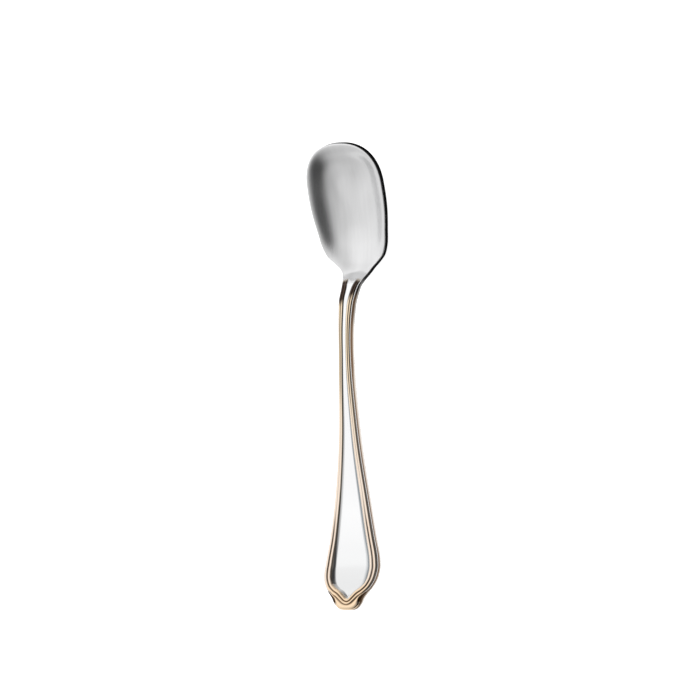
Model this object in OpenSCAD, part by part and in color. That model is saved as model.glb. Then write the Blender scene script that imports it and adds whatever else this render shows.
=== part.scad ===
// Ice cream spoon, one piece of stamped steel with a shallow spade bowl.
// It lies as it rests: the bowl's underside and the handle's underside touch z = 0.
// X runs across, Y runs from the handle's end to the bowl's tip, Z is up.

/* [Overall] */
// Length from the handle's end to the bowl's tip, flat on the table
overall_length = 140; // [130:1:155]

/* [Bowl outline] */
// Widest part of the bowl
bowl_width = 26.3; // [22:0.1:30]
// Distance from the tip to the widest part
tip_length = 13; // [10:0.5:16]
// Squareness of the tip, where 2 is an ellipse
tip_square = 2.35; // [2:0.05:3]
// Width of the bowl just before the corners at its heel
heel_width = 21.8; // [18:0.1:24]
// Distance from the tip to the heel corners
heel_at = 30.6; // [28:0.2:33]
// Distance from the tip to the end of the funnel
bowl_length = 42; // [40:0.5:46]

/* [Bowl form] */
// Depth of the bowl below its rim
bowl_depth = 4.4; // [3:0.1:6]
// Steel at the middle of the bowl
bowl_wall = 1.4; // [0.8:0.1:2]
// Height of the rim's edge face
rim_height = 1.9; // [1.4:0.1:2.2]
// Angle by which the bowl's rim rises to the tip
bowl_pitch = 19; // [8:0.5:22]
// Share of the depth that the walls take, where the rest is the gently curved floor
wall_share = 0.48; // [0.3:0.02:0.8]
// Steepness of the walls, where a larger value keeps them closer to the rim
wall_power = 20; // [8:1:26]
// Rounding of the rim into the bowl, where 1 gives a sharp rim
rim_round = 2.3; // [1.6:0.1:2.6]

/* [Neck] */
// Narrowest width of the neck
neck_width = 4.2; // [3.4:0.1:6]
// Distance of the narrowest place from the handle's end
neck_at = 80; // [74:1:84]
// Width where the neck runs into the bowl
throat_width = 6.2; // [5:0.2:8]
// Thickness of the neck
neck_thickness = 2.9; // [2.2:0.1:3.6]
// Height of the neck's top above the table
neck_height = 9; // [6:0.2:11]

/* [Handle] */
// Width over the shoulders
handle_width = 18.9; // [16:0.1:21]
// Distance of the shoulders from the handle's end
shoulder_at = 12; // [11:0.5:14]
// Width halfway up the handle
middle_width = 7.3; // [6:0.1:9]
// Thickness of the handle's end, up to the level of the beads
handle_thickness = 2.2; // [1.8:0.1:2.8]
// Distance from the end to the place that rests on the table
rest_at = 17; // [15:1:22]
// Lift of the handle's end above the table
end_lift = 2.3; // [0:0.1:3]
// Depth of the small worn flats under the bowl and the handle that the spoon rests on
foot_flat = 0.08; // [0.06:0.01:0.14]

/* [End lobe] */
// Width of the lobe between the two notches
lobe_width = 9.2; // [8:0.2:11]
// Length of the lobe below the notches
lobe_length = 4.9; // [4.2:0.1:5.6]
// Gap between the lobe's edge and the point of the beads
lobe_rim = 1.6; // [1.2:0.1:2]

/* [Beads] */
// Width of the pair of beads at the neck
beads_neck = 1.35; // [1.2:0.05:1.6]
// Width of the pair of beads at the shoulders
beads_end = 2.75; // [2.2:0.05:3.2]
// Height of the beads
bead_height = 0.4; // [0.2:0.05:0.6]
// Fall from the level of the beads to the handle's edge
edge_fall = 0.4; // [0.2:0.05:0.6]
// Narrow margin outside the beads
margin = 0.15; // [0.1:0.05:0.4]
// Depth of the panel below the level of the beads at the neck
panel_neck = 0.15; // [0:0.05:0.3]
// Depth of the panel below the level of the beads at the shoulders
panel_end = 1; // [0.4:0.05:1.2]
// Width of the slope from the beads to the panel at the shoulders
slope_end = 1.1; // [0.6:0.1:2]
// Height of the thin flange that stands outside the lobe's round edge at its sides
flange_height = 0.4; // [0.1:0.05:0.5]

/* [Smoothness] */
// Stations in each stretch of the outline
stretch = 4; // [3:1:5]
// Stations round each half of the bowl's tip
tip_stations = 17; // [12:1:20]

/* [Hidden] */
L = overall_length;
throat = L - bowl_length;
heel = L - heel_at;
tip_row = L - tip_length;
lobe_top = lobe_length;

// A smooth curve through a list of points, with tangents weighted by the spacing
function span(a, b) = max(norm(b - a), 0.001);
function slope_at(a, b, c) =
    ((b - a) / span(a, b) * span(b, c) + (c - b) / span(b, c) * span(a, b)) / (span(a, b) + span(b, c));
function hermite(p, q, m, n, t) =
    p * (1 + 2 * t) * (1 - t) * (1 - t) + m * t * (1 - t) * (1 - t)
    + q * t * t * (3 - 2 * t) + n * t * t * (t - 1);
function through(list, steps) = [
    for (i = [1 : len(list) - 3], j = [0 : steps - 1])
        let (d = span(list[i], list[i + 1]))
        hermite(
            list[i], list[i + 1],
            slope_at(list[i - 1], list[i], list[i + 1]) * d,
            slope_at(list[i], list[i + 1], list[i + 2]) * d,
            j / steps)
];

// A height or width that changes along the spoon, read from a few places
function tangent(k, i) =
    i == 0 || i == len(k) - 1 ? 0
    : let (a = (k[i][1] - k[i - 1][1]) / (k[i][0] - k[i - 1][0]))
      let (b = (k[i + 1][1] - k[i][1]) / (k[i + 1][0] - k[i][0]))
      a * b <= 0 ? 0 : 2 * a * b / (a + b);
function along(k, y, i = 0) =
    y <= k[0][0] ? k[0][1]
    : y >= k[len(k) - 1][0] ? k[len(k) - 1][1]
    : y > k[i + 1][0] ? along(k, y, i + 1)
    : let (d = k[i + 1][0] - k[i][0])
      hermite(k[i][1], k[i + 1][1], tangent(k, i) * d, tangent(k, i + 1) * d, (y - k[i][0]) / d);
function ease(a, b, v) =
    let (t = min(1, max(0, (v - a) / (b - a))))
    t * t * (3 - 2 * t);

// Half outline of the bowl's tip, a squared ellipse, from the tip to the widest part
tip_half = [
    for (i = [0 : tip_stations - 1])
        let (a = 90 * i / tip_stations)
        [
            bowl_width / 2 * pow(sin(a), 2 / tip_square),
            tip_row + tip_length * pow(cos(a), 2 / tip_square)
        ]
];

// Half outline from the widest part of the bowl down to the end of the handle
half_bowl = bowl_width / 2;
half_heel = heel_width / 2;
half_throat = throat_width / 2;
half_neck = neck_width / 2;
half_handle = handle_width / 2;
half_lobe = lobe_width / 2;
side_points = [
    [half_bowl - 0.4, tip_row + 5],
    [half_bowl, tip_row],
    [half_bowl - 0.25, tip_row - 7],
    [(half_bowl + half_heel) / 2 - 0.05, heel + 5],
    [half_heel, heel],
    [half_heel - 1.1, heel - 2.4],
    [half_heel - 3, heel - 4.4],
    [(half_heel + half_throat) / 2 - 1.8, throat + 4.4],
    [half_throat + 0.9, throat + 2.4],
    [half_throat, throat],
    [(half_throat + half_neck) / 2, throat - 5],
    [half_neck, neck_at],
    [half_neck + 0.55, neck_at - 16],
    [middle_width / 2, neck_at - 30],
    [middle_width / 2 + 2.1, neck_at - 46],
    [half_handle - 1.65, shoulder_at + 10],
    [half_handle - 0.25, shoulder_at + 3],
    [half_handle, shoulder_at],
    [half_handle - 0.5, shoulder_at - 3],
    [(half_handle + half_lobe) / 2 + 0.7, lobe_top + 1.8],
    [half_lobe + 1.6, lobe_top],
    [half_lobe + 0.6, lobe_top - 1.3],
    [half_lobe - 0.2, lobe_top * 0.4],
    [half_lobe * 0.62, 0.45],
    [0, 0],
    [-half_lobe * 0.62, 0.45]
];
half_outline = concat(tip_half, through(side_points, stretch), [[0, 0]]);
N = len(half_outline) - 1;
M = 2 * N;

// The outer foot of the beads leaves the edge at the notches and runs to a point
ogee_points = [
    [half_handle - 0.5 - margin, shoulder_at - 3],
    [(half_handle + half_lobe) / 2 + 0.7 - 0.8 * margin, lobe_top + 1.8 + 0.6 * margin],
    [half_lobe + 0.9, lobe_top + 0.05],
    [half_lobe - 0.6, lobe_top - 0.8],
    [half_lobe * 0.58, lobe_top - 1.9],
    [half_lobe * 0.28, lobe_rim + 0.35],
    [0, lobe_rim],
    [-half_lobe * 0.28, lobe_rim + 0.35]
];
ogee = concat(through(ogee_points, stretch), [[0, lobe_rim]]);

// Inward direction at each station, from its two neighbours
function inward(list, i) =
    let (a = i == 0 ? [-list[1][0], list[1][1]] : list[i - 1])
    let (b = i == len(list) - 1 ? [-a[0], a[1]] : list[i + 1])
    let (d = (b - a) / span(a, b))
    [d[1], -d[0]];
foot_half = [
    for (i = [0 : N])
        let (k = i - (N - len(ogee) + 1))
        k >= 0 ? ogee[k] : half_outline[i] + margin * inward(half_outline, i)
];

// Where each station's row ends on the middle line
function middle_row(y) =
    y > throat
    ? y - (tip_length - 0.6) * pow((y - throat) / bowl_length, 2)
    : y + 4.5 * pow(max(0, 1 - y / 20), 2);

// Thickness at the edge, thickness at the middle and depth of the bowl
edge_places = [
    [0, handle_thickness], [14, handle_thickness], [45, (handle_thickness + neck_thickness) / 2 + 0.1],
    [neck_at, neck_thickness], [throat - 4, neck_thickness - 0.2], [throat + 7, rim_height], [L, rim_height]
];
wall_places = [
    [0, handle_thickness], [14, handle_thickness], [45, (handle_thickness + neck_thickness) / 2 + 0.1],
    [neck_at, neck_thickness], [throat - 4, neck_thickness - 0.2], [throat + 9, bowl_wall], [L, bowl_wall]
];
depth_places = [
    [throat - 2, 0], [throat + 2, 0.1 * bowl_depth], [throat + 5.5, 0.27 * bowl_depth],
    [throat + 9, 0.49 * bowl_depth], [throat + 14, 0.82 * bowl_depth], [throat + 20, 0.99 * bowl_depth],
    [throat + 23, bowl_depth], [L - tip_length + 1, 0.92 * bowl_depth]
];

// The bowl's rim is set just high enough for its underside to touch the table
rim_low = throat + 4.75;
function rim_climb(d) = tan(bowl_pitch) * (d < 4 ? d * d / 8 : d - 2);
heel_height = -min([
    for (y = [rim_low : 0.5 : L - tip_length])
        rim_climb(y - rim_low) - along(depth_places, y) - along(wall_places, y)
]);
height_places = [
    [0, handle_thickness + end_lift],
    [5, handle_thickness + 0.9 * end_lift],
    [10, handle_thickness + 0.44 * end_lift],
    [rest_at - 3, handle_thickness + 0.07 * end_lift],
    [rest_at, handle_thickness],
    [rest_at + 12, handle_thickness + 0.65],
    [neck_at - 28, 0.5 * handle_thickness + 0.5 * neck_height],
    [neck_at - 6, neck_height - 0.6],
    [neck_at + 5, neck_height],
    [throat - 6.5, neck_height - 0.4],
    [throat - 1, 0.6 * neck_height + 0.4 * heel_height],
    [rim_low, heel_height]
];
function rim_line(y) = y > rim_low ? heel_height + rim_climb(y - rim_low) : along(height_places, y);

// The rim's edge face stands square to the rising rim, so its upper edge lies further back
function rim_lean(y) = rim_height * sin(bowl_pitch) * ease(throat + 5, throat + 14, y);
// Rows in the bowl bend to meet the middle line squarely
function bent(t) = 1.3 * t * (1 - t) * (1 - t) + t * t * (3 - 2 * t);
function bowl_wall_form(t, y) =
    let (walls = wall_share * ease(throat + 7, throat + 15, y))
    walls * (1 - pow(1 - pow(t, rim_round), wall_power))
    + (1 - walls) * (1 - pow(1 - pow(t, 1.6), 2));

// The walls are steeper at the two corners of the tip
function corner_share(n, y) = 0.4 * pow(2 * n[0] * n[1], 2) * ease(tip_row - 5, tip_row + 3, y);

// How far a place belongs to the bowl and not to the handle, from 0 to 1
function bowl_share(y) = ease(throat - 1, throat + 7, y);
function bead_share(y) = 1 - ease(throat + 0.2, throat + 1.6, y);

// Width of the pair of beads, which narrows to the neck and at the point
function beads(y) =
    along([[0, 0.62 * beads_end], [4, 0.75 * beads_end], [shoulder_at - 1, beads_end],
        [shoulder_at + 10, 0.9 * beads_end], [45, (beads_end + beads_neck) / 2 - 0.25],
        [neck_at, beads_neck], [throat, beads_neck + 0.4]], y);
function panel_depth(y) =
    along([[0, panel_end], [shoulder_at - 1, panel_end], [shoulder_at + 4, 0.6 * panel_end],
        [shoulder_at + 10, 0.35 * panel_end], [50, panel_neck + 0.1], [neck_at, panel_neck]], y);
function slope_width(y) =
    along([[0, 0.5 * slope_end], [6, 0.9 * slope_end], [shoulder_at - 2, slope_end],
        [shoulder_at + 4, 0.6 * slope_end], [shoulder_at + 10, 0.35 * slope_end],
        [50, 0.25 * slope_end], [neck_at, 0.18 * slope_end]], y);

// Places across the beads, as shares of their width, with two round beads and a groove between
across = [0.07, 0.25, 0.43, 0.5, 0.57, 0.75, 0.93, 1];
function bead_form(v) = bead_height * pow(abs(sin(360 * v)), 0.85);
function bead_fall(v) = edge_fall * pow(max(0, 1 - 1.6 * v), 2);

// Places from the edge to the foot of the beads, which is where the lobe's own round bead lies
lobe_across = [0, 0.38, 0.52, 0.8, 1];
function roll(t) = edge_fall * sqrt(t) + bead_height * pow(sin(180 * t), 0.8);
function lobe_form(t, flange) = roll(max(0, (t - 0.38 * flange) / (1 - 0.38 * flange)));
function flange_form(t) = flange_height * max(0, 1 - t / 0.38);
rows_in = 4;
K = len(lobe_across) + len(across) + rows_in;

// One station from the edge to the middle line, as points on the upper face
function station_top(i) =
    let (p = half_outline[i] - [0, rim_lean(half_outline[i][1])])
    let (q = foot_half[i])
    let (n = inward(foot_half, i))
    let (w = beads(q[1]))
    let (inner = q + n * w)
    let (c = [0, middle_row(p[1])])
    let (s = bowl_share(p[1]))
    let (b = bead_share(p[1]))
    let (lobe = ease(margin, 1.2, norm(q - p)))
    let (flange = ease(1, 3.5, p[1]) * ease(margin, 0.6, norm(q - p)))
    let (corner = corner_share(inward(half_outline, i), p[1]))
    let (sunk = panel_depth(q[1]))
    let (reach = min(0.4, slope_width(q[1]) / span(inner, c)))
    let (handle = concat(
        [for (t = lobe_across)
            [p + (q - p) * t, b * (lobe * lobe_form(t, flange) - edge_fall + flange * flange_form(t))]],
        [for (v = across)
            [q + n * w * v, b * (bead_form(v) - bead_fall(v) * (1 - lobe) - sunk * 0.15 * v)]],
        [[inner + (c - inner) * reach * 0.5, -b * sunk * 0.7],
            [inner + (c - inner) * reach, -b * sunk],
            [inner + (c - inner) * (reach + 1) / 2, -b * sunk * 0.95],
            [c, -b * sunk * 0.9]]))
    let (deep = along(depth_places, c[1]))
    [
        for (k = [0 : K - 1])
            let (t = k < 3 ? [0, 0.012, 0.033][k] : 0.033 + 0.967 * pow((k - 2) / (K - 3), 1.2))
            let (inside = [p[0] * (1 - t), p[1] + (c[1] - p[1]) * bent(t)])
            let (spot = handle[k][0] * (1 - s) + inside * s)
            let (lip = [-0.2, -0.08, 0][min(k, 2)])
            let (u = min(1, t * (1 + corner)))
            let (rise = handle[k][1] * (1 - s) + s * (lip - deep * bowl_wall_form(u, p[1])))
            [spot[0], spot[1], rim_line(spot[1]) + rise]
    ];

// The same station on the lower face, from the edge to the middle line
under = [0, 0, 0.12, 0.3, 0.52, 0.76, 1];
function station_under(i) =
    let (p = half_outline[i])
    let (c = [0, middle_row(p[1])])
    let (edge = along(edge_places, p[1]) + rim_lean(p[1]) * tan(bowl_pitch))
    let (deep = along(depth_places, c[1]) + along(wall_places, c[1]))
    let (start = p + 0.35 * inward(half_outline, i))
    [
        for (k = [0 : len(under) - 1])
            let (t = under[k])
            let (spot = k == 0 ? p : [start[0] * (1 - t), start[1] + (c[1] - start[1]) * bent(t)])
            let (drop = k == 0 ? edge - 0.25 : edge + (deep - edge) * (1 - pow(1 - t, 3)))
            [spot[0], spot[1], max(foot_flat, rim_line(spot[1]) - drop)]
    ];

// Every row goes once round the spoon, and the two middle lines close it
function mirrored(p, flip) = flip ? [-p[0], p[1], p[2]] : p;
tops = [for (i = [0 : N]) station_top(i)];
lows = [for (i = [0 : N]) station_under(i)];
U = len(under) - 1;
rows = K - 1 + U;
ring_points = [
    for (k = [0 : rows - 1], j = [0 : M - 1])
        let (i = j <= N ? j : M - j)
        mirrored(k < K - 1 ? tops[i][K - 2 - k] : lows[i][k - K + 1], j > N)
];
top_middle = [for (i = [0 : N]) tops[i][K - 1]];
low_middle = [for (i = [0 : N]) lows[i][U]];
all_points = concat(ring_points, top_middle, low_middle);
function ring(k, j) = k * M + (j % M);
function mid(j, low) = rows * M + (low ? N + 1 : 0) + (j % M <= N ? j % M : M - j % M);
wall_faces = [
    for (k = [0 : rows - 2], j = [0 : M - 1])
        each [[ring(k, j), ring(k, j + 1), ring(k + 1, j + 1)],
            [ring(k, j), ring(k + 1, j + 1), ring(k + 1, j)]]
];
top_faces = [
    for (j = [0 : M - 1])
        each [[mid(j, false), mid(j + 1, false), ring(0, j + 1)], [mid(j, false), ring(0, j + 1), ring(0, j)]]
];
low_faces = [
    for (j = [0 : M - 1])
        each [[ring(rows - 1, j), ring(rows - 1, j + 1), mid(j + 1, true)],
            [ring(rows - 1, j), mid(j + 1, true), mid(j, true)]]
];
lowest = min([for (p = all_points) p[2]]);

module spoon() {
    color("silver")
    translate([0, -L / 2, -lowest])
    polyhedron(points = all_points, faces = concat(wall_faces, top_faces, low_faces), convexity = 6);
}

spoon();
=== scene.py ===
import math

import bpy
import numpy as np
from mathutils import Matrix, Vector


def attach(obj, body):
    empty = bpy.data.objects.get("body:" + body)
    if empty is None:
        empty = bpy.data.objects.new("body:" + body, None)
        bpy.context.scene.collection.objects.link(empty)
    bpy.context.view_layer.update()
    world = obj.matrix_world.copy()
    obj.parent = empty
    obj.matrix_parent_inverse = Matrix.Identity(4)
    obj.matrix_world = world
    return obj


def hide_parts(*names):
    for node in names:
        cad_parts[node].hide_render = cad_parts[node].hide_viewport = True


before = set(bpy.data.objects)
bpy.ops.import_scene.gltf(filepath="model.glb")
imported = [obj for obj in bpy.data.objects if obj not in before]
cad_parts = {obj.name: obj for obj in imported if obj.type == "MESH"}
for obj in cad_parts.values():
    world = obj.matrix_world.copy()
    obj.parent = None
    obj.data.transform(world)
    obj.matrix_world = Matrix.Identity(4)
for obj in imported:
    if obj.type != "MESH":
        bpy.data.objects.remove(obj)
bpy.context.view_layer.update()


# The camera
# It looks down on the spoon from the spoon's right-hand side, through a long lens, so that
# both ends are drawn to almost the same scale and the right-hand edge faces show.
lean_right = math.radians(32)
lean_to_handle = math.radians(5.5)
picture_roll = math.radians(1.1)
camera_distance = 4
picture_size = 700
pixels_per_metre = 3330
middle_of_picture = Vector((-0.00312, 0.00869, 0.00019))

sideways = Vector((math.cos(lean_right), 0, -math.sin(lean_right)))
from_right = Vector((math.sin(lean_right), 0, math.cos(lean_right)))
to_camera = from_right * math.cos(lean_to_handle) - Vector((0, math.sin(lean_to_handle), 0))
upward = to_camera.cross(sideways)
picture_x = sideways * math.cos(picture_roll) + upward * math.sin(picture_roll)
picture_y = upward * math.cos(picture_roll) - sideways * math.sin(picture_roll)

camera_data = bpy.data.cameras.new("camera")
camera_data.sensor_width = 36
camera_data.sensor_fit = "HORIZONTAL"
camera_data.lens = 36 * pixels_per_metre * camera_distance / picture_size
camera_data.clip_start = 0.05
camera_data.clip_end = 20
camera = bpy.data.objects.new("camera", camera_data)
bpy.context.collection.objects.link(camera)
turn = Matrix((picture_x, picture_y, to_camera)).transposed().to_4x4()
camera.matrix_world = Matrix.Translation(middle_of_picture + to_camera * camera_distance) @ turn
bpy.context.scene.camera = camera


# The floor and the light
# A white table under one very large soft light on the spoon's left, in a studio whose right
# side is dark. The table carries painted shadows that only reflections see: near-black patches
# beside the bowl and past its tip, which draw the thin dark line along the rim, and grey
# painted shade beside the bowl and neck.
white = (1, 1, 1, 1)
table_white = (0.8, 0.8, 0.8, 1)
table_size = 6
table_glow = 0.95
# How bright reflections see the table in its painted shade beside the bowl and in its painted
# shadows
mirrored_shade_by_bowl = 0.55
mirrored_shadow = 0.01
light_strength = 1.04


def node(tree, kind, inputs=None, **settings):
    made = tree.nodes.new(kind)
    for name, value in settings.items():
        setattr(made, name, value)
    for name, value in (inputs or {}).items():
        made.inputs[name].default_value = value
    return made


def fade(tree, source, low, high, at_low, at_high):
    made = node(tree, "ShaderNodeMapRange", {
        "From Min": low, "From Max": high, "To Min": at_low, "To Max": at_high},
        interpolation_type="SMOOTHSTEP")
    tree.links.new(source, made.inputs["Value"])
    return made.outputs["Result"]


def worked_out(tree, operation, a, b):
    made = node(tree, "ShaderNodeMath", operation=operation)
    for socket, value in zip(made.inputs, (a, b)):
        if isinstance(value, (int, float)):
            socket.default_value = value
        else:
            tree.links.new(value, socket)
    return made.outputs[0]


# A curve over the values from -1 to 1; the first two places are its ends
def profile(tree, source, places):
    whole = node(tree, "ShaderNodeMapRange", {"From Min": -1.0})
    shape = node(tree, "ShaderNodeFloatCurve")
    curve = shape.mapping.curves[0]
    for i, (at, value) in enumerate(places):
        if i < 2:
            curve.points[i].location = ((at + 1) / 2, value)
        else:
            curve.points.new((at + 1) / 2, value)
    shape.mapping.update()
    tree.links.new(source, whole.inputs["Value"])
    tree.links.new(whole.outputs["Result"], shape.inputs["Value"])
    return shape.outputs[0]


bpy.ops.mesh.primitive_plane_add(size=table_size, location=(0, 0, 0))
floor = bpy.context.object
floor.name = "floor"
floor_material = bpy.data.materials.new("white table")
floor_material.use_nodes = True
tree = floor_material.node_tree
tree.nodes.clear()
seen = node(tree, "ShaderNodeBsdfDiffuse", {"Color": table_white})
glow = node(tree, "ShaderNodeEmission", {"Color": white, "Strength": table_glow})
lit = node(tree, "ShaderNodeAddShader")
place = node(tree, "ShaderNodeSeparateXYZ")
tree.links.new(node(tree, "ShaderNodeNewGeometry").outputs["Position"], place.inputs[0])
table_x, table_y = place.outputs["X"], place.outputs["Y"]
# Painted shadows on the table, seen only in reflections: beside the bowl and past its tip
shadow_beside_bowl = worked_out(
    tree, "MULTIPLY",
    fade(tree, table_x, 0.002, 0.006, 0, 1), fade(tree, table_y, 0.025, 0.029, 0, 1))
shadow_past_tip = worked_out(
    tree, "MULTIPLY",
    fade(tree, table_x, -0.026, -0.002, 0, 1), fade(tree, table_y, 0.070, 0.074, 0, 1))
painted_shadows = worked_out(tree, "MAXIMUM", shadow_beside_bowl, shadow_past_tip)
# Painted shade on the table beside the bowl and neck, seen only in reflections
shade_beside_bowl = worked_out(
    tree, "MULTIPLY",
    fade(tree, table_x, -0.012, 0.002, 0, 1), fade(tree, table_y, 0.012, 0.022, 0, 1))
mirrored = worked_out(
    tree, "MULTIPLY",
    fade(tree, shade_beside_bowl, 0, 1, 1, mirrored_shade_by_bowl),
    fade(tree, painted_shadows, 0, 1, 1, mirrored_shadow))
mirrored_floor = node(tree, "ShaderNodeEmission", {"Color": white})
path = node(tree, "ShaderNodeLightPath")
choose = node(tree, "ShaderNodeMixShader")
output = node(tree, "ShaderNodeOutputMaterial")
tree.links.new(mirrored, mirrored_floor.inputs["Strength"])
tree.links.new(seen.outputs[0], lit.inputs[0])
tree.links.new(glow.outputs[0], lit.inputs[1])
tree.links.new(path.outputs["Is Camera Ray"], choose.inputs[0])
tree.links.new(mirrored_floor.outputs[0], choose.inputs[1])
tree.links.new(lit.outputs[0], choose.inputs[2])
tree.links.new(choose.outputs[0], output.inputs["Surface"])
floor.data.materials.append(floor_material)

studio = bpy.data.worlds.new("studio")
bpy.context.scene.world = studio
studio.use_nodes = True
tree = studio.node_tree
tree.nodes.clear()
facing = node(tree, "ShaderNodeSeparateXYZ")
tree.links.new(node(tree, "ShaderNodeTexCoord").outputs["Generated"], facing.inputs[0])

# How far the light's right-hand edge lies to the left, from the handle's side to the tip's,
# then the light's strength from left to right and from the handle's side to the tip's
edge_to_left = profile(tree, facing.outputs["Y"], [
    (-1, 0.55), (1, 0.1), (-0.9, 0.42), (-0.8, 0.3), (-0.7, 0.18), (-0.6, 0.1), (-0.5, 0.06),
    (-0.4, 0.04), (-0.25, 0), (0.0, 0.02), (0.3, 0)])
across_light = worked_out(tree, "ADD", facing.outputs["X"], edge_to_left)
left_to_right = profile(tree, across_light, [
    (-1, 0.95), (1, 0.16), (-0.3, 1), (-0.04, 0.81), (0.21, 0.51), (0.42, 0.29), (0.56, 0.1),
    (0.7, 0.045), (0.85, 0.09)])
near_to_far = profile(tree, facing.outputs["Y"], [
    (-1, 0.65), (1, 1), (-0.85, 0.67), (-0.5, 0.76), (-0.1, 0.95), (0.1, 1), (0.43, 0.94),
    (0.8, 1)])
strength = worked_out(
    tree, "MULTIPLY", worked_out(tree, "MULTIPLY", left_to_right, near_to_far), light_strength)
sky = node(tree, "ShaderNodeBackground", {"Color": white})
output = node(tree, "ShaderNodeOutputWorld")
tree.links.new(strength, sky.inputs["Strength"])
tree.links.new(sky.outputs[0], output.inputs["Surface"])
bpy.context.scene.view_settings.view_transform = "Standard"


# The spoon
# One piece of stainless steel, stamped from sheet: a spade bowl, a cranked neck and a handle
# with two beads along each edge. It is made here as rows that run from the outline to the
# middle line, in millimetres from the handle's end, with Z up from the table.
overall_length = 140
bowl_width, tip_length, tip_square = 26.3, 13, 2.35
heel_width, heel_at, bowl_length = 21.8, 30.6, 42
bowl_depth, bowl_wall, rim_height, bowl_pitch = 4.4, 1.4, 1.9, math.radians(19)
wall_share, wall_power, rim_round = 0.48, 18, 2.1
neck_width, neck_at, throat_width, neck_thickness, neck_height = 4.2, 80, 6.2, 2.9, 9.0
handle_width, shoulder_at, middle_width = 18.9, 12, 7.3
handle_thickness, rest_at, end_lift, foot_flat = 2.2, 17, 2.3, 0.08
lobe_width, lobe_top, lobe_rim = 9.2, 4.9, 1.6
beads_neck, beads_end, bead_height, edge_fall, margin = 1.35, 2.75, 0.4, 0.4, 0.15
panel_neck, panel_end, slope_end = 0.15, 1.0, 1.1
flange_height, flange_share = 0.4, 0.38
rim_lip, lower_edge = 0.2, 0.25

throat = overall_length - bowl_length
heel = overall_length - heel_at
tip_row = overall_length - tip_length

edge_rows, bead_rows, panel_rows, under_rows = 13, 24, 14, 14
tip_stations, curve_steps = 60, 16


def span(a, b):
    return max(math.dist(a, b), 0.001)


def slope_at(a, b, c):
    before, after = span(a, b), span(b, c)
    return ((b - a) / before * after + (c - b) / after * before) / (before + after)


# A smooth line through the points; the first and last only steer its ends
def through(points):
    points = [np.array(p, float) for p in points]
    curve = []
    for i in range(1, len(points) - 2):
        a, b = points[i], points[i + 1]
        d = span(a, b)
        start = slope_at(points[i - 1], a, b) * d
        end = slope_at(a, b, points[i + 2]) * d
        for t in np.arange(curve_steps) / curve_steps:
            curve.append(
                a * (1 + 2 * t) * (1 - t) ** 2 + start * t * (1 - t) ** 2
                + b * t * t * (3 - 2 * t) + end * t * t * (t - 1))
    return curve


# The value at y of a smooth line through (y, value) places that never overshoots them
def along(places, y):
    ys = [place[0] for place in places]
    vs = [place[1] for place in places]
    y = min(max(y, ys[0]), ys[-1])
    i = min(int(np.searchsorted(ys, y, side="right")) - 1, len(ys) - 2)
    rates = [(vs[k + 1] - vs[k]) / (ys[k + 1] - ys[k]) for k in range(len(ys) - 1)]

    def tangent(k):
        if k in (0, len(ys) - 1) or rates[k - 1] * rates[k] <= 0:
            return 0
        return 2 * rates[k - 1] * rates[k] / (rates[k - 1] + rates[k])

    d = ys[i + 1] - ys[i]
    t = (y - ys[i]) / d
    return (vs[i] * (1 + 2 * t) * (1 - t) ** 2 + tangent(i) * d * t * (1 - t) ** 2
            + vs[i + 1] * t * t * (3 - 2 * t) + tangent(i + 1) * d * t * t * (t - 1))


def ease(a, b, v):
    t = min(1, max(0, (v - a) / (b - a)))
    return t * t * (3 - 2 * t)


# The outline's right half, from the bowl's tip round to the lobe at the handle's end
half_bowl, half_heel, half_throat = bowl_width / 2, heel_width / 2, throat_width / 2
half_neck, half_handle, half_lobe = neck_width / 2, handle_width / 2, lobe_width / 2
tip_half = [
    np.array((
        half_bowl * math.sin(a) ** (2 / tip_square),
        tip_row + tip_length * math.cos(a) ** (2 / tip_square)))
    for a in np.arange(tip_stations) * math.pi / 2 / tip_stations]
side_points = [
    (half_bowl - 0.4, tip_row + 5),
    (half_bowl, tip_row),
    (half_bowl - 0.25, tip_row - 7),
    ((half_bowl + half_heel) / 2 - 0.05, heel + 5),
    (half_heel, heel),
    (half_heel - 1.1, heel - 2.4),
    (half_heel - 3, heel - 4.4),
    ((half_heel + half_throat) / 2 - 1.8, throat + 4.4),
    (half_throat + 0.9, throat + 2.4),
    (half_throat, throat),
    ((half_throat + half_neck) / 2, throat - 5),
    (half_neck, neck_at),
    (half_neck + 0.55, neck_at - 16),
    (middle_width / 2, neck_at - 30),
    (middle_width / 2 + 2.1, neck_at - 46),
    (half_handle - 1.65, shoulder_at + 10),
    (half_handle - 0.25, shoulder_at + 3),
    (half_handle, shoulder_at),
    (half_handle - 0.5, shoulder_at - 3),
    ((half_handle + half_lobe) / 2 + 0.7, lobe_top + 1.8),
    (half_lobe + 1.6, lobe_top),
    (half_lobe + 0.6, lobe_top - 1.3),
    (half_lobe - 0.2, lobe_top * 0.4),
    (half_lobe * 0.62, 0.45),
    (0, 0),
    (-half_lobe * 0.62, 0.45)]
outline = tip_half + through(side_points) + [np.array((0.0, 0.0))]
last = len(outline) - 1

# The beads' outer foot follows the outline, but at the lobe it runs to a point above it
ogee_points = [
    (half_handle - 0.5 - margin, shoulder_at - 3),
    ((half_handle + half_lobe) / 2 + 0.7 - 0.8 * margin, lobe_top + 1.8 + 0.6 * margin),
    (half_lobe + 0.9, lobe_top + 0.05),
    (half_lobe - 0.6, lobe_top - 0.8),
    (half_lobe * 0.58, lobe_top - 1.9),
    (half_lobe * 0.28, lobe_rim + 0.35),
    (0, lobe_rim),
    (-half_lobe * 0.28, lobe_rim + 0.35)]
ogee = through(ogee_points) + [np.array((0.0, lobe_rim))]


def inward(points, i):
    a = points[i - 1] if i else points[1] * (-1, 1)
    b = points[i + 1] if i < last else a * (-1, 1)
    d = (b - a) / span(a, b)
    return np.array((d[1], -d[0]))


foot = [
    ogee[i - last + len(ogee) - 1] if i > last - len(ogee)
    else outline[i] + margin * inward(outline, i)
    for i in range(last + 1)]


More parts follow.
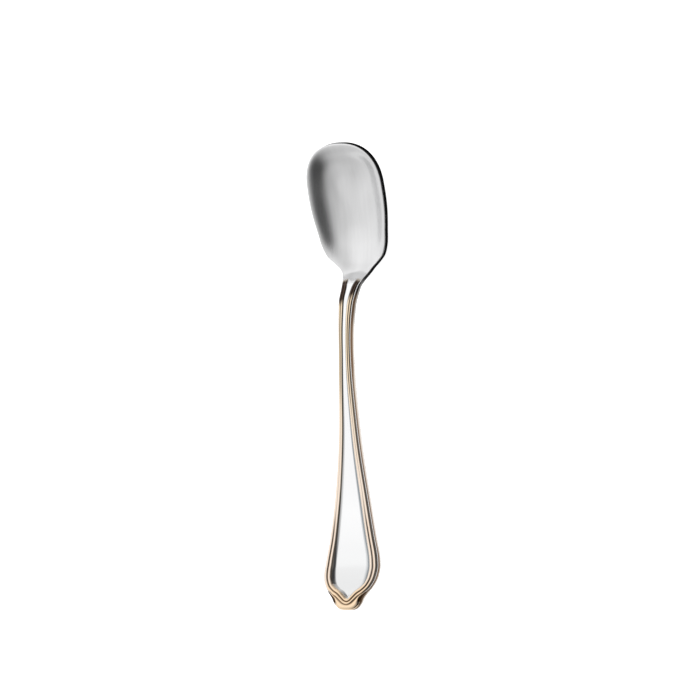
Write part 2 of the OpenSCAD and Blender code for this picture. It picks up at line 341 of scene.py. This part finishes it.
def middle_row(y):
    if y > throat:
        return y - (tip_length - 0.6) * ((y - throat) / bowl_length) ** 2
    return y + 4.5 * max(0, 1 - y / 20) ** 2


# Thicknesses and depths along the spoon, and the height of its rim over the table
half_way = (handle_thickness + neck_thickness) / 2 + 0.1
edge_places = [
    (0, handle_thickness), (14, handle_thickness), (45, half_way), (neck_at, neck_thickness),
    (throat - 4, neck_thickness - 0.2), (throat + 7, rim_height), (overall_length, rim_height)]
wall_places = edge_places[:5] + [(throat + 9, bowl_wall), (overall_length, bowl_wall)]
depth_places = [
    (throat - 2, 0), (throat + 2, 0.1 * bowl_depth), (throat + 5.5, 0.27 * bowl_depth),
    (throat + 9, 0.49 * bowl_depth), (throat + 14, 0.82 * bowl_depth),
    (throat + 20, 0.99 * bowl_depth), (throat + 23, bowl_depth), (tip_row + 1, 0.92 * bowl_depth)]
rim_low = throat + 4.75


def rim_climb(d):
    return math.tan(bowl_pitch) * (d * d / 8 if d < 4 else d - 2)


heel_height = -min(
    rim_climb(y - rim_low) - along(depth_places, y) - along(wall_places, y)
    for y in np.arange(rim_low, tip_row, 0.5))
height_places = [
    (0, handle_thickness + end_lift),
    (5, handle_thickness + 0.9 * end_lift),
    (10, handle_thickness + 0.44 * end_lift),
    (rest_at - 3, handle_thickness + 0.07 * end_lift),
    (rest_at, handle_thickness),
    (rest_at + 12, handle_thickness + 0.65),
    (neck_at - 28, 0.5 * handle_thickness + 0.5 * neck_height),
    (neck_at - 6, neck_height - 0.6),
    (neck_at + 5, neck_height),
    (throat - 6.5, neck_height - 0.4),
    (throat - 1, 0.6 * neck_height + 0.4 * heel_height),
    (rim_low, heel_height)]


def rim_line(y):
    return heel_height + rim_climb(y - rim_low) if y > rim_low else along(height_places, y)


# The rim's edge face stands square to the rising rim, so its upper edge lies further back
def rim_lean(y):
    return rim_height * math.sin(bowl_pitch) * ease(throat + 5, throat + 14, y)


def beads_width(y):
    return along([
        (0, 0.62 * beads_end), (4, 0.75 * beads_end), (shoulder_at - 1, beads_end),
        (shoulder_at + 10, 0.9 * beads_end), (45, (beads_end + beads_neck) / 2 - 0.25),
        (neck_at, beads_neck), (throat, beads_neck + 0.4)], y)


def panel_depth(y):
    return along([
        (0, panel_end), (shoulder_at - 3, 0.98 * panel_end), (shoulder_at + 1, 0.84 * panel_end),
        (shoulder_at + 5, 0.6 * panel_end), (shoulder_at + 10, 0.4 * panel_end),
        (shoulder_at + 18, 0.31 * panel_end), (50, panel_neck + 0.1), (neck_at, panel_neck)], y)


def slope_width(y):
    return along([
        (0, 0.5 * slope_end), (6, 0.9 * slope_end), (shoulder_at - 2, slope_end),
        (shoulder_at + 4, 0.8 * slope_end), (shoulder_at + 10, 0.75 * slope_end),
        (33, 0.75 * slope_end), (50, 0.55 * slope_end), (neck_at, 0.18 * slope_end)], y)


# Towards the neck the beads are worn lower and round off less at the edge, and the groove
# between them is shallow along the middle of the handle
def worn_height(y):
    return bead_height * (1 - 0.4 * ease(24, 40, y) - 0.1 * ease(60, 78, y))


def worn_fall(y):
    return edge_fall * (1 - 0.5 * ease(60, 78, y))


def groove_filled(y):
    return 0.55 * ease(20, 30, y) * (1 - ease(58, 70, y))


# The handle's part of a row, from its edge over the beads to the panel's middle line. Each
# spot is its place, its height over the rim line, how gold it is, how dark it is made by brown
# patina and painted shade, and how shaded it is.
def edge_spots(p, q, lobe, flange):
    spots = []
    for k in range(edge_rows):
        t = k / (edge_rows - 1)
        u = max(0, (t - flange_share * flange) / (1 - flange_share * flange))
        bulge = bead_height * max(0, math.sin(math.pi * u)) ** 0.8
        rise = (lobe * (edge_fall * u ** 0.5 + bulge) - worn_fall(q[1])
                + flange * flange_height * max(0, 1 - t / flange_share))
        gold = lobe * (1 - flange * (1 - ease(0.3, 0.5, t)))
        # Painted shadow: the flange just outside the lobe's roll is made dark brown
        shadow_under_roll = min(1, 1.8 * flange) * (1 - ease(0.4, 0.55, t))
        # Painted shade in the valley between the lobe's roll and the beads
        stain_and_shade = max(shadow_under_roll, lobe * max(0, 4.5 * t - 3.5))
        spots.append((p + (q - p) * t, rise, gold, stain_and_shade, 0))
    return spots


def bead_spots(q, n, w, lobe, sunk):
    spots = []
    for v in (k / bead_rows for k in range(1, bead_rows + 1)):
        form = worn_height(q[1]) * abs(math.sin(2 * math.pi * v)) ** 0.85
        if 0.25 < v < 0.75:
            form += groove_filled(q[1]) * max(0, 0.6 * bead_height - form)
        fall = (1 - lobe) * worn_fall(q[1]) * max(0, 1 - 1.6 * v) ** 2
        # Brown patina in the groove between the beads, made darker on the spoon's left by painted
        # shade
        groove = max(0, 1 - abs(v - 0.5) / 0.13) ** 0.7
        # Painted shade at the beads' foot along the lobe, continuing the valley's
        lobe_foot = lobe * max(0, 1 - v / 0.1)
        # Darker along the beads' outer foot towards the neck
        neck_foot = ease(64, 76, q[1]) * max(0, 1 - v / 0.3)
        stain_and_shade = max(groove, lobe_foot, neck_foot)
        spots.append((q + n * w * v, form - fall - sunk * 0.15 * v, 1, stain_and_shade, 0))
    return spots


def panel_spots(p, inner, c, sunk, slope):
    reach = min(0.4, slope / span(inner, c))
    spots = []
    for k in range(1, panel_rows + 1):
        t = k / panel_rows
        t = t * reach * 2 if t < 0.5 else reach + (1 - reach) * (2 * t - 1)
        down = 0.15 + 0.85 * (1 - max(0, 1 - t / reach) ** 1.5) - 0.1 * ease(reach, 1, t)
        shade = ease(0, 0.3 * reach, t) * (1 - ease(0.8 * reach, 1.3 * reach, t))
        turned = t + ease(throat - 12, throat - 4, p[1]) * t * (1 - t)
        spots.append((
            inner + (c - inner) * (t, turned), -sunk * down, 0, 0, shade * ease(4, 9, p[1])))
    return spots


# Height of the bowl's floor on the middle line, evened out as the polishing wheel leaves it
def floor_line(y):
    step = 0.5 * ease(throat + 4, throat + 9, y)
    return sum(
        (7 - abs(k)) / 49 * (rim_line(y + k * step) - along(depth_places, y + k * step))
        for k in range(-6, 7))


# Share of the bowl's depth that is reached at a share of the way from the rim to the middle
def bowl_form(t, y):
    walls = wall_share * ease(throat + 7, throat + 15, y)
    return (walls * (1 - (1 - t ** rim_round) ** wall_power)
            + (1 - walls) * (1 - (1 - t ** 1.6) ** 2))


def bent(t):
    return 1.3 * t * (1 - t) ** 2 + t * t * (3 - 2 * t)


def row_share(k, count):
    return (k / (count - 1)) ** 1.2


# A row over the top: the handle's spots, which turn into the bowl's at the throat. Each
# point is x, y, z and then how gold, how darkened by patina and painted shade, how brushed
# and how shaded the steel is there.
def upper_row(i):
    p, q = outline[i] - (0, rim_lean(outline[i][1])), foot[i]
    n = inward(foot, i)
    w = beads_width(q[1])
    inner = q + n * w
    c = np.array((0, middle_row(p[1])))
    in_bowl = ease(throat - 1, throat + 7, p[1])
    on_handle = 1 - ease(throat + 0.2, throat + 1.6, p[1])
    lobe = ease(margin, 1.2, math.dist(p, q))
    flange = ease(1, 3.5, p[1]) * ease(margin, 0.6, math.dist(p, q))
    square = inward(outline, i)
    corner = 0.4 * (2 * square[0] * square[1]) ** 2 * ease(tip_row - 5, tip_row + 3, p[1])
    along_the_spoon = square[1] ** 2
    sunk = panel_depth(q[1])
    deep = rim_line(c[1]) - floor_line(c[1])
    brushed = ease(throat - 1, throat + 1.6, p[1])
    spots = (edge_spots(p, q, lobe, flange) + bead_spots(q, n, w, lobe, sunk)
             + panel_spots(p, inner, c, sunk, slope_width(q[1])))
    row = []
    for k, (place, rise, gold, stain_and_shade, shade) in enumerate(spots):
        t = row_share(k, len(spots))
        way = bent(t) + along_the_spoon * (t + 0.3 * t * (1 - t) ** 2 - bent(t))
        inside = np.array((p[0] * (1 - t), p[1] + (c[1] - p[1]) * way))
        spot = place * (1 - in_bowl) + inside * in_bowl
        lip = -rim_lip * (1 - min(1, t * 30)) ** 2
        hollow = lip - deep * bowl_form(min(1, t * (1 + corner)), p[1])
        height = rim_line(spot[1]) + on_handle * rise * (1 - in_bowl) + in_bowl * hollow
        row.append((
            spot[0], spot[1], height, on_handle * gold, on_handle * stain_and_shade, brushed,
            on_handle * shade))
    return row


def lower_row(i):
    p = outline[i]
    c = np.array((0, middle_row(p[1])))
    edge = along(edge_places, p[1]) + rim_lean(p[1]) * math.tan(bowl_pitch)
    deep = along(depth_places, c[1]) + along(wall_places, c[1])
    start = p + 0.35 * inward(outline, i)
    row = [(p[0], p[1], edge - lower_edge)]
    for t in (k / under_rows for k in range(under_rows + 1)):
        row.append((
            start[0] * (1 - t), start[1] + (c[1] - start[1]) * bent(t),
            edge + (deep - edge) * (1 - (1 - t) ** 3)))
    return [(x, y, max(foot_flat, rim_line(y) - drop), 0, 0, 0, 0) for x, y, drop in row]


# The plating runs over the edge and down the side, with painted shade just under the edge
def side_row(i):
    plated = 1 - ease(throat - 5, throat + 1.6, outline[i][1])
    upper, lower = rows[i][0], lows[i][0]
    return [
        [a + (b - a) * f for a, b in zip(upper[:3], lower[:3])]
        + [plated * (1 - 0.8 * f), plated * dark, upper[5] * (1 - f), 0]
        for f, dark in ((0.08, 9), (0.3, 8), (0.5, 3), (0.8, 0))]


rows = [upper_row(i) for i in range(last + 1)]
lows = [lower_row(i) for i in range(last + 1)]
sides = [side_row(i) for i in range(last + 1)]


# Away from its wall the bowl's floor is one even surface
def surface_terms(x, y):
    x, y = (x / 13) ** 2, (y - 122) / 15
    return [x ** a * y ** b for a in range(4) for b in range(7)]


floor_spots = [
    (i, k, row_share(k, len(rows[i])))
    for i in range(last + 1) if outline[i][1] > throat + 12
    for k in range(len(rows[i])) if row_share(k, len(rows[i])) > 0.4]
terms = np.array([surface_terms(*rows[i][k][:2]) for i, k, t in floor_spots])
heights = np.array([rows[i][k][2] for i, k, t in floor_spots])
weights = np.array([1.03 - t for i, k, t in floor_spots])
even = terms @ np.linalg.lstsq(terms * weights[:, None], heights * weights, rcond=None)[0]
for (i, k, t), height in zip(floor_spots, even):
    share = ease(0.45, 0.8, t) * ease(throat + 13, throat + 22, outline[i][1])
    x, y, z = rows[i][k][:3]
    rows[i][k] = (x, y, z + share * (float(height) - z)) + rows[i][k][3:]

# How dark the brown patina and painted shade are along the spoon, on its left and on its
# right; the left is mostly made darker, which is painted shade. The panel's slope is shaded
# on the right only.
left_stain_and_shade = [(5, 1), (10, 0.9), (20, 0.8), (33, 0.3), (60, 0.35), (76, 1), (90, 0.9)]
right_stain_and_shade = [(5, 1), (14, 0.4), (22, 0.12), (66, 0.12), (78, 0.6), (88, 0.9)]
ring_size = 2 * last
points, finishes = [], []


def add_ring(stations, k):
    for j in range(ring_size):
        on_left = j > last
        x, y, z, gold, stain_and_shade, satin, shade = stations[ring_size - j if on_left else j][k]
        points.append((-x if on_left else x, y, z))
        # Painted shade: the left side is mostly made darker than the right
        stain_and_shade *= along(left_stain_and_shade if on_left else right_stain_and_shade, y)
        finishes.append((gold, min(1, stain_and_shade), satin, 0 if on_left else shade))


for k in reversed(range(len(rows[0]) - 1)):
    add_ring(rows, k)
for k in range(len(sides[0])):
    add_ring(sides, k)
for k in range(len(lows[0]) - 1):
    add_ring(lows, k)
ring_count = len(points) // ring_size
for stations in (rows, lows):
    for station in stations:
        x, y, z, gold, stain_and_shade, satin, shade = station[-1]
        points.append((x, y, z))
        finishes.append((gold, 0, satin, 0))

points = np.array(points)
points[:, 2] -= points[:, 2].min()
points[:, 1] -= overall_length / 2
points /= 1000


def on_middle_line(j, below):
    i = j % ring_size
    return ring_count * ring_size + (last + 1 if below else 0) + min(i, ring_size - i)


faces = []
lowest_ring = (ring_count - 1) * ring_size
for j in range(ring_size):
    after = (j + 1) % ring_size
    faces.append((on_middle_line(j + 1, False), after, j, on_middle_line(j, False)))
    faces.append((
        lowest_ring + after, on_middle_line(j + 1, True), on_middle_line(j, True),
        lowest_ring + j))
    for k in range(ring_count - 1):
        here, there = k * ring_size, (k + 1) * ring_size
        faces.append((here + after, there + after, there + j, here + j))

spoon_mesh = bpy.data.meshes.new("ice_cream_spoon")
spoon_mesh.from_pydata([tuple(p) for p in points], [], faces)
for name, values in zip(("gold", "groove", "satin", "shade"), zip(*finishes)):
    spoon_mesh.attributes.new(name, "FLOAT", "POINT").data.foreach_set("value", values)
for polygon in spoon_mesh.polygons:
    polygon.use_smooth = True
spoon_mesh.validate()
spoon_mesh.update()
spoon = bpy.data.objects.new("ice_cream_spoon", spoon_mesh)
bpy.context.collection.objects.link(spoon)

# The finish: polished steel with painted shade towards the handle's end, brushed along the
# bowl, with pale gold plating on the beads, brown patina darkened by painted shade in their
# grooves, and a painted dark reflection, with painted highlights on the crests, where they
# run out at the bowl
polished_steel = (0.95, 0.95, 0.955, 1)
# Painted shade: the polished steel is made greyer towards the handle's end
shaded_end_steel = (0.82, 0.825, 0.825, 1)
brushed_dark = (0.795, 0.795, 0.80, 1)
brushed_light = (0.83, 0.83, 0.835, 1)
grey_slope = (0.30, 0.33, 0.35, 1)
neck_gold = (0.99, 0.82, 0.60, 1)
handle_gold = (0.98, 0.83, 0.70, 1)
lobe_gold = (0.97, 0.745, 0.52, 1)
brown_patina_and_shade = (0.19, 0.11, 0.06, 1)
# Patina and painted shade at the lobe
lobe_patina_and_shade = (0.08, 0.04, 0.015, 1)
# Painted dark reflection where the beads run out at the neck, with a painted highlight on their
# crests
neck_shade_crest_highlight = (0.075, 0.05, 0.038, 1)
neck_shade_in_grooves = (0.02, 0.011, 0.008, 1)
polished_roughness, brushed_roughness = 0.1, 0.27
neck_shade_slant = -0.6

steel = bpy.data.materials.new("plated steel")
steel.use_nodes = True
tree = steel.node_tree
surface = tree.nodes["Principled BSDF"]
surface.inputs["Metallic"].default_value = 1
surface.inputs["Anisotropic"].default_value = 0.6
across_the_brushing = node(tree, "ShaderNodeCombineXYZ", {"X": 1.0})
tree.links.new(across_the_brushing.outputs[0], surface.inputs["Tangent"])
gold_places, stain_and_shade_places, brushed_places, shaded_places = (
    node(tree, "ShaderNodeAttribute", attribute_name=name).outputs["Fac"]
    for name in ("gold", "groove", "satin", "shade"))


def blend(tree, share, first, second):
    made = node(tree, "ShaderNodeMix", data_type="RGBA")
    tree.links.new(share, made.inputs[0])
    for socket, colour in ((made.inputs[6], first), (made.inputs[7], second)):
        if isinstance(colour, tuple):
            socket.default_value = colour
        else:
            tree.links.new(colour, socket)
    return made.outputs[2]


spot = node(tree, "ShaderNodeTexCoord").outputs["Object"]
spot_parts = node(tree, "ShaderNodeSeparateXYZ")
tree.links.new(spot, spot_parts.inputs[0])
spot_across, spot_along = spot_parts.outputs["X"], spot_parts.outputs["Y"]
slanted = worked_out(
    tree, "ADD", spot_along, worked_out(tree, "MULTIPLY", spot_across, neck_shade_slant))
at_the_lobe = fade(tree, spot_along, -0.0645, -0.060, 1, 0)
at_the_end = fade(tree, spot_along, -0.066, -0.040, 1, 0)
on_the_handle = fade(tree, spot_along, -0.035, 0.012, 1, 0)
# Painted dark reflection near the bowl, slanted across the handle
neck_shaded = fade(tree, slanted, 0.0212, 0.0242, 0, 1)

# Fine lines that the brush leaves along the bowl
stretched = node(tree, "ShaderNodeMapping", {"Scale": (1400, 45, 200)})
tree.links.new(spot, stretched.inputs["Vector"])
brushing = node(tree, "ShaderNodeTexNoise", {"Scale": 1.0, "Detail": 3.0, "Roughness": 0.6})
tree.links.new(stretched.outputs[0], brushing.inputs["Vector"])
lines = node(tree, "ShaderNodeMapRange", {"From Min": 0.3, "From Max": 0.7})
tree.links.new(brushing.outputs["Fac"], lines.inputs["Value"])

# The steel is greyer towards the handle's end: painted shade
polished = blend(tree, at_the_end, polished_steel, shaded_end_steel)
brushed = blend(tree, lines.outputs["Result"], brushed_dark, brushed_light)
bare = blend(tree, brushed_places, polished, brushed)
shaded = blend(tree, shaded_places, bare, grey_slope)
plating = blend(tree, at_the_lobe, blend(tree, on_the_handle, neck_gold, handle_gold), lobe_gold)
plated = blend(tree, gold_places, shaded, plating)
# The brown of patina and painted shade, darker at the lobe
brown = blend(tree, at_the_lobe, brown_patina_and_shade, lobe_patina_and_shade)
# Lighter on the bead crests, a painted highlight, and darker in the grooves
neck_shade = blend(tree, stain_and_shade_places, neck_shade_crest_highlight, neck_shade_in_grooves)
dark = blend(tree, neck_shaded, brown, neck_shade)
neck_shaded_gold = worked_out(tree, "MULTIPLY", neck_shaded, gold_places)
dark_places = worked_out(tree, "MAXIMUM", stain_and_shade_places, neck_shaded_gold)
tree.links.new(blend(tree, dark_places, plated, dark), surface.inputs["Base Color"])
shine = node(tree, "ShaderNodeMapRange", {
    "To Min": polished_roughness, "To Max": brushed_roughness})
tree.links.new(brushed_places, shine.inputs["Value"])
tree.links.new(shine.outputs["Result"], surface.inputs["Roughness"])
spoon_mesh.materials.append(steel)
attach(spoon, "root")
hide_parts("spoon")
